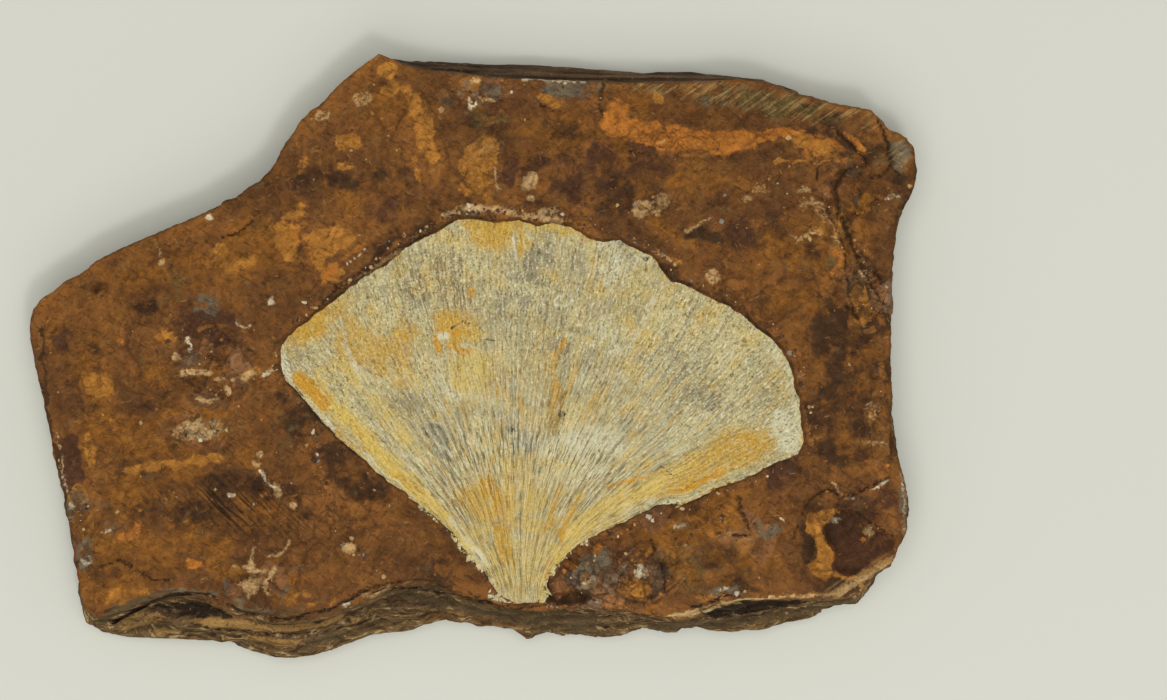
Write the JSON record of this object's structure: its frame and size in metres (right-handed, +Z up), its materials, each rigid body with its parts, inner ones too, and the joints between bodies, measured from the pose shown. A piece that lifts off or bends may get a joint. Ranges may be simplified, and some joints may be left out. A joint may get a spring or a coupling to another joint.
{
  "type": "fossil ginkgo leaf",
  "caption": "Fan-shaped fossil leaf preserved as a pale mineral film on a flat, broken slab of layered brown rock; lies on its underside as a display specimen.",
  "frame": {"origin": "on the surface that the slab rests on, under the middle of the slab's footprint", "axes": "+X along the slab's long side, to the leaf's right seen from above with its stalk end towards -Y; +Y from the stalk end to the leaf's far margin; +Z up, out of the face that shows the leaf"},
  "size_m": [0.1118, 0.0766, 0.0111],
  "materials": {
    "matrix_rock": "iron-stained mudstone, reddish to yellowish brown, dull and rough with ochre patches and broken layers at its edges",
    "leaf_film": "pale cream to grey clay mineral film with ochre-yellow stains and fine fanning veins, dull"
  },
  "bodies": {
    "root": {"matrix_slab": "matrix_rock", "ginkgo_leaf": "leaf_film"}
  },
  "joints": []
}
